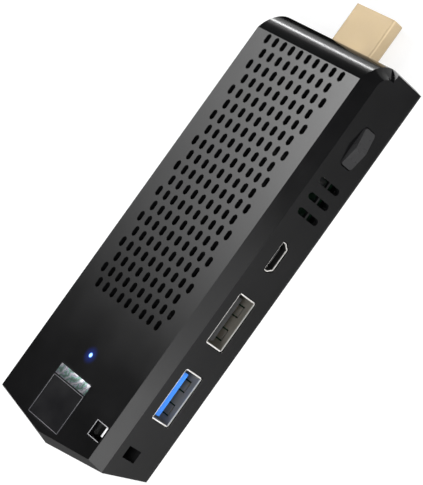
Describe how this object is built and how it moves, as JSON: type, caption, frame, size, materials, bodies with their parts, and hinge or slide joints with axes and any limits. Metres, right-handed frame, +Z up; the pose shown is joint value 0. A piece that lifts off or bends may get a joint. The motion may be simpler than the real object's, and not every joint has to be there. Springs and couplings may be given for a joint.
{
  "type": "hdmi stick computer",
  "caption": "Stick computer with a slotted top, an HDMI plug on the rounded end, USB sockets, a power inlet and a push button along one side.",
  "frame": {"origin": "centre of the housing's flat underside, halfway along the housing without its plug", "axes": "+X along the stick towards the HDMI plug, +Z up out of the slotted top, -Y the way the USB sockets, the power inlet and the power button face"},
  "size_m": [0.1217, 0.0448, 0.0156],
  "materials": {
    "housing_plastic": "satin black moulded plastic",
    "cover_plastic": "fine-textured black moulded plastic",
    "screw_steel": "black-zinc steel",
    "label_film": "dark label with a silver strip at one end",
    "clear_plastic": "clear moulded light pipe",
    "plug_gold": "matte gold-plated sheet",
    "connector_black": "black moulded insulator",
    "contact_gold": "gold-plated contact metal",
    "board_green": "solder-masked circuit board",
    "chip_black": "black moulded chip package",
    "pad_grey": "soft thermal pad",
    "sink_black": "black anodised",
    "inductor_grey": "pressed ferrite powder",
    "capacitor_tan": "ceramic capacitor body",
    "tin_metal": "tin-plated sheet",
    "battery_steel": "nickel-plated coin cell",
    "led_white": "white chip with a blue-white light",
    "socket_nickel": "nickel-plated sheet",
    "tongue_black": "black moulded tongue",
    "tongue_blue": "blue moulded tongue",
    "button_plastic": "satin black moulded plastic",
    "switch_plastic": "black moulded switch body"
  },
  "bodies": {
    "housing": {"upper_housing": "housing_plastic", "bottom_cover": "cover_plastic", "case_screws": "screw_steel", "front_label": "label_film", "light_pipe": "clear_plastic", "hdmi_plug_shell": "plug_gold", "hdmi_insulator": "connector_black", "hdmi_contacts": "contact_gold", "main_board": "board_green", "board_screws": "screw_steel", "processor": "chip_black", "thermal_pad": "pad_grey", "heat_sink": "sink_black", "heat_sink_screws": "screw_steel", "memory_chips": "chip_black", "storage_chip": "chip_black", "power_controller": "chip_black", "power_inductors": "inductor_grey", "capacitors": "capacitor_tan", "clock_crystal": "tin_metal", "wireless_board": "board_green", "wireless_shield": "tin_metal", "wireless_antenna": "tin_metal", "clock_battery": "battery_steel", "battery_clip": "tin_metal", "status_led": "led_white", "usb2_shell": "socket_nickel", "usb2_tongue": "tongue_black", "usb2_contacts": "contact_gold", "usb3_shell": "socket_nickel", "usb3_tongue": "tongue_blue", "usb3_contacts": "contact_gold", "power_inlet_shell": "socket_nickel", "power_inlet_tongue": "connector_black", "power_inlet_contacts": "contact_gold", "power_switch_body": "switch_plastic"},
    "power_button": {"power_button": "button_plastic", "power_switch_plunger": "switch_plastic"}
  },
  "joints": [
    {"name": "power_button_press", "type": "slide", "parent": "housing", "child": "power_button", "axis": [0, 1, 0], "range_m": [0, 0.0004], "stiffness_N_per_m": 400}
  ]
}
